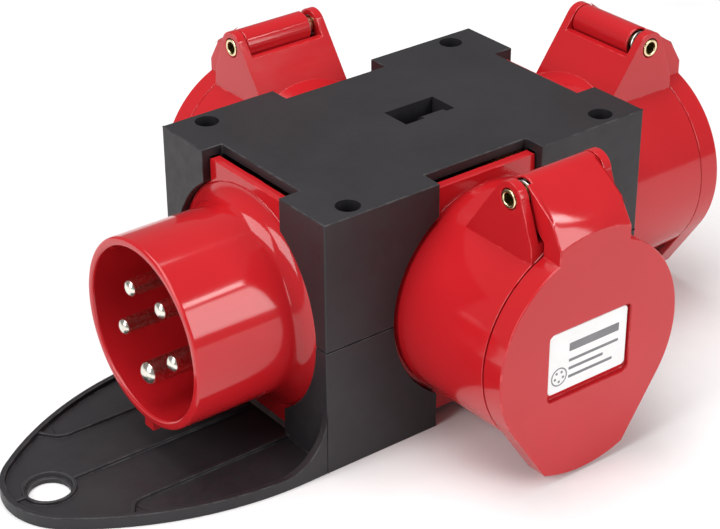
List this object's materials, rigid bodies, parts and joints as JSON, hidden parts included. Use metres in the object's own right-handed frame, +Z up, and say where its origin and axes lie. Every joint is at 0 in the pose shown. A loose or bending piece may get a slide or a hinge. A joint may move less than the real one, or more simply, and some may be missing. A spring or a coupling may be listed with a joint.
{
  "type": "portable power distribution box",
  "caption": "Portable three-phase power distribution box: black housing with a hanging tongue, a red pin inlet and red sockets with spring-closed hinged lids.",
  "frame": {"origin": "on the flat underside, under the middle of the housing block (the tongue not counted)", "axes": "+Z up; -X towards the inlet and the tongue; the sockets face -Y (front), +X (right) and +Y (back)"},
  "size_m": [0.2407, 0.1642, 0.0897],
  "materials": {
    "housing": "fine moulded grain",
    "red_plastic": "glossy moulded",
    "red_insulator": "glossy moulded, darker",
    "black_insulator": "satin moulded",
    "nickel": "nickel-plated",
    "brass": "bare",
    "copper": "bare copper",
    "steel": "zinc-plated",
    "rubber": "matte",
    "label": "satin film"
  },
  "bodies": {
    "housing": {"upper_shell": "housing", "lower_shell": "housing", "housing_screw_1": "steel", "housing_screw_2": "steel", "housing_screw_3": "steel", "housing_screw_4": "steel", "busbar_L1": "copper", "busbar_L2": "copper", "busbar_L3": "copper", "busbar_N": "copper", "busbar_PE": "copper", "inlet_body": "red_plastic", "inlet_pin_carrier": "red_insulator", "inlet_pin_L1": "nickel", "inlet_pin_L2": "nickel", "inlet_pin_L3": "nickel", "inlet_pin_N": "nickel", "inlet_pin_PE": "nickel", "front_socket_body": "red_plastic", "front_socket_contact_carrier": "black_insulator", "front_socket_contact_L1": "nickel", "front_socket_contact_L2": "nickel", "front_socket_contact_L3": "nickel", "front_socket_contact_N": "nickel", "front_socket_contact_PE": "nickel", "front_socket_hinge_pin": "brass", "front_socket_lid_spring": "steel", "right_socket_body": "red_plastic", "right_socket_contact_carrier": "black_insulator", "right_socket_contact_L1": "nickel", "right_socket_contact_L2": "nickel", "right_socket_contact_L3": "nickel", "right_socket_contact_N": "nickel", "right_socket_contact_PE": "nickel", "right_socket_hinge_pin": "brass", "right_socket_lid_spring": "steel", "back_socket_body": "red_plastic", "back_socket_contact_carrier": "black_insulator", "back_socket_contact_L1": "nickel", "back_socket_contact_L2": "nickel", "back_socket_contact_L3": "nickel", "back_socket_contact_N": "nickel", "back_socket_contact_PE": "nickel", "back_socket_hinge_pin": "brass", "back_socket_lid_spring": "steel"},
    "front_socket_lid": {"front_socket_lid": "red_plastic", "front_socket_lid_seal": "rubber", "front_socket_lid_label": "label"},
    "right_socket_lid": {"right_socket_lid": "red_plastic", "right_socket_lid_seal": "rubber", "right_socket_lid_label": "label"},
    "back_socket_lid": {"back_socket_lid": "red_plastic", "back_socket_lid_seal": "rubber", "back_socket_lid_label": "label"}
  },
  "joints": [
    {"name": "front_socket_lid_hinge", "type": "hinge", "parent": "housing", "child": "front_socket_lid", "pos_m": [0, -0.0648, 0.0846], "axis": [-1, 0, 0], "range_deg": [0, 150], "stiffness_Nm_per_rad": 0.03, "springref_deg": -60.16},
    {"name": "right_socket_lid_hinge", "type": "hinge", "parent": "housing", "child": "right_socket_lid", "pos_m": [0.0838, 0, 0.0846], "axis": [0, -1, 0], "range_deg": [0, 150], "stiffness_Nm_per_rad": 0.03, "springref_deg": -60.16},
    {"name": "back_socket_lid_hinge", "type": "hinge", "parent": "housing", "child": "back_socket_lid", "pos_m": [0, 0.0648, 0.0846], "axis": [1, 0, 0], "range_deg": [0, 150], "stiffness_Nm_per_rad": 0.03, "springref_deg": -60.16}
  ]
}
